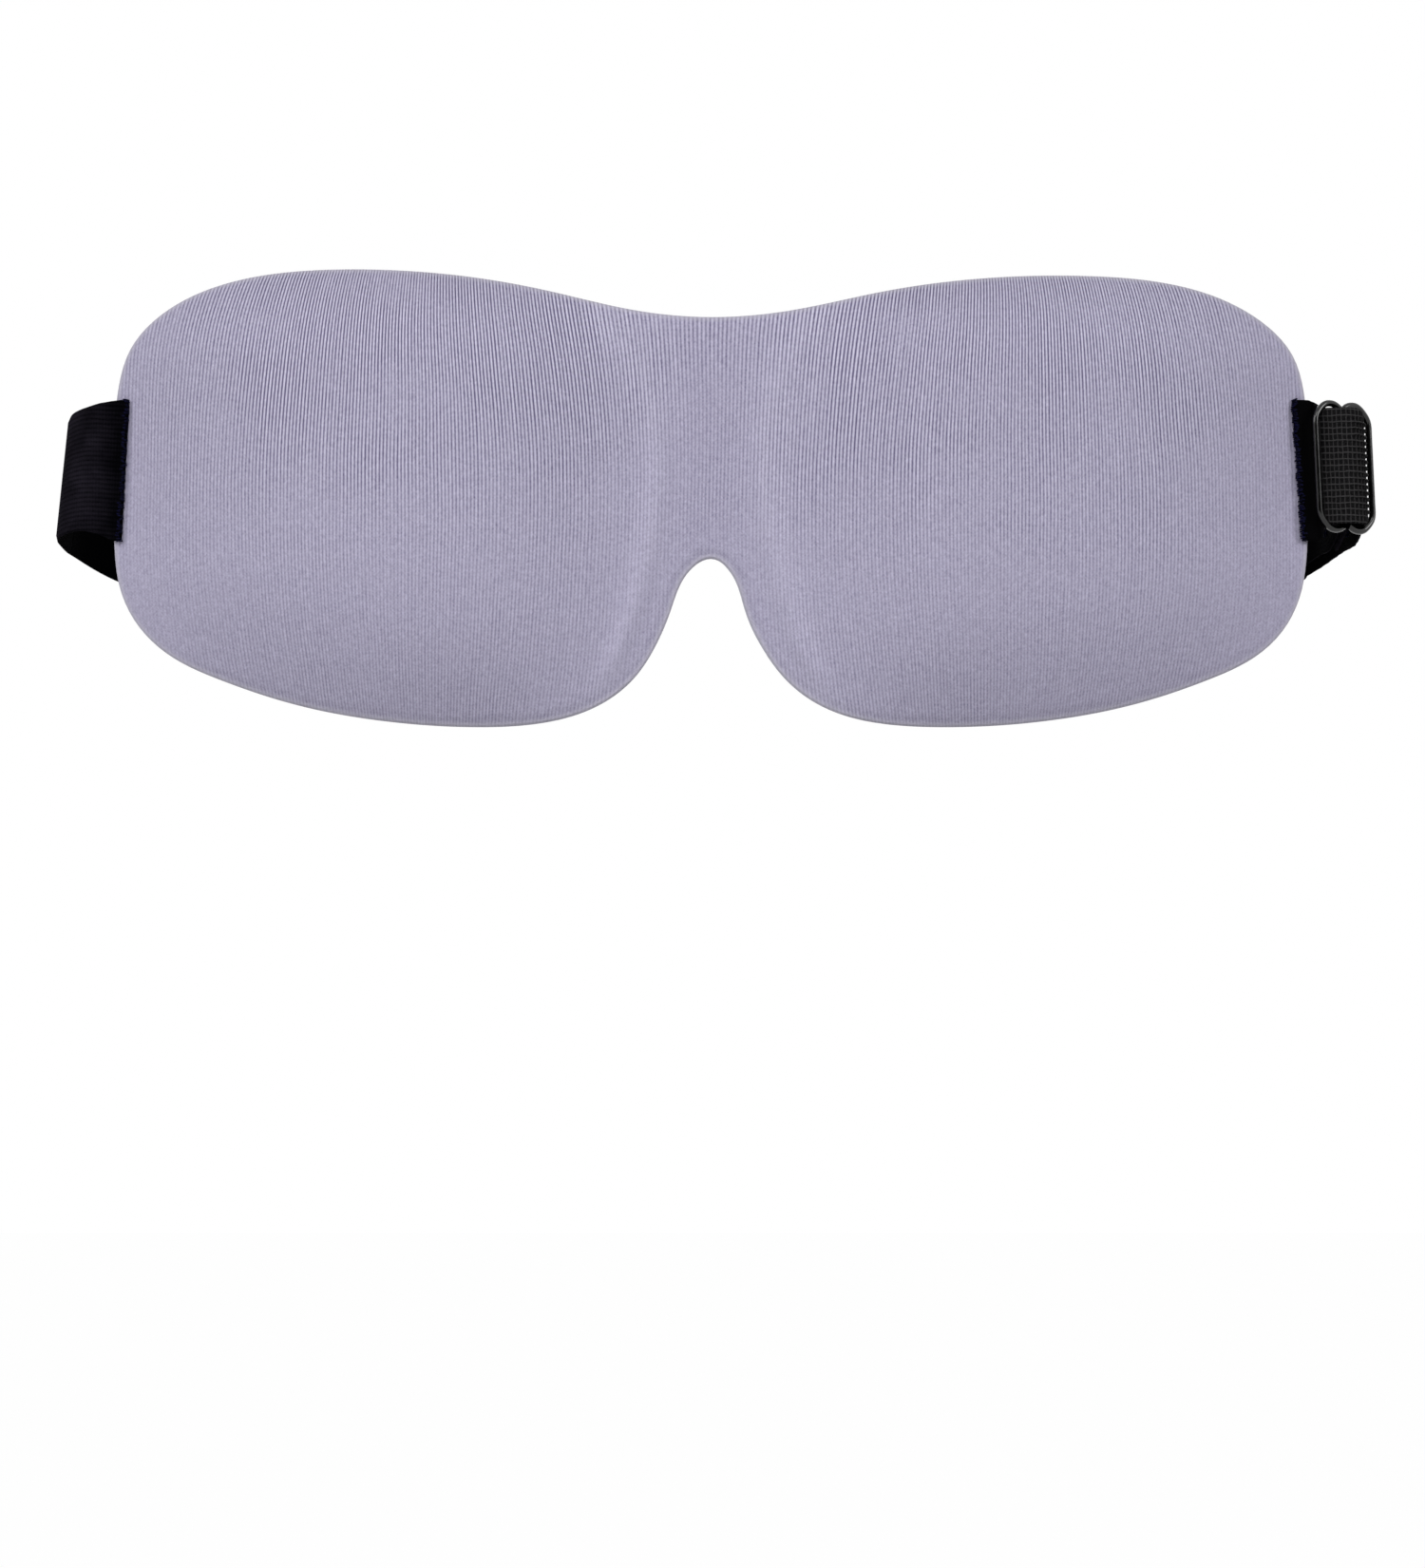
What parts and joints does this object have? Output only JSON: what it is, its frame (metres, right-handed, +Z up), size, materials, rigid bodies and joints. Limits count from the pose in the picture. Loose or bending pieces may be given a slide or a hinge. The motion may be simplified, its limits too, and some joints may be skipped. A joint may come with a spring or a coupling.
{
  "type": "sleep eye mask",
  "caption": "Contoured foam sleep eye mask with a ribbed jersey face, a nose notch and an elastic head strap that adjusts at a wire slider.",
  "frame": {"origin": "middle of the mask's back face at the nose bridge, at half the height of the lobes' wide stretch, where the face bears", "axes": "+Z up as worn, -Y out of the front of the mask, +X towards the slider"},
  "size_m": [0.2418, 0.103, 0.083],
  "materials": {
    "cover_jersey": "matte ribbed jersey, lavender grey",
    "foam": "closed-cell foam, black",
    "lining": "matte brushed knit, black",
    "strap_elastic": "knitted elastic, black",
    "slider_webbing": "coarse square-woven elastic, black",
    "thread": "polyester thread, black",
    "coated_wire": "satin black coating on wire"
  },
  "bodies": {
    "mask": {"foam_core": "foam", "outer_cover": "cover_jersey", "inner_lining": "lining", "left_strap_end": "strap_elastic", "right_strap_end": "strap_elastic", "left_end_stitching": "thread", "right_end_stitching": "thread"},
    "strap": {"left_strap": "strap_elastic", "right_strap": "slider_webbing", "loop_stitching": "thread", "hem_stitching": "thread"},
    "slider": {"slider": "coated_wire"}
  },
  "joints": [
    {"name": "strap_swing", "type": "hinge", "parent": "mask", "child": "strap", "pos_m": [0, 0.01051, 0.0058], "axis": [1, 0, 0], "range_deg": [-45, 60], "stiffness_Nm_per_rad": 0.05},
    {"name": "slider_tilt", "type": "hinge", "parent": "strap", "child": "slider", "pos_m": [0.1165, 0.01217, 0.00577], "axis": [0, 0.0175, 0.9998], "range_deg": [-6, 6]}
  ]
}
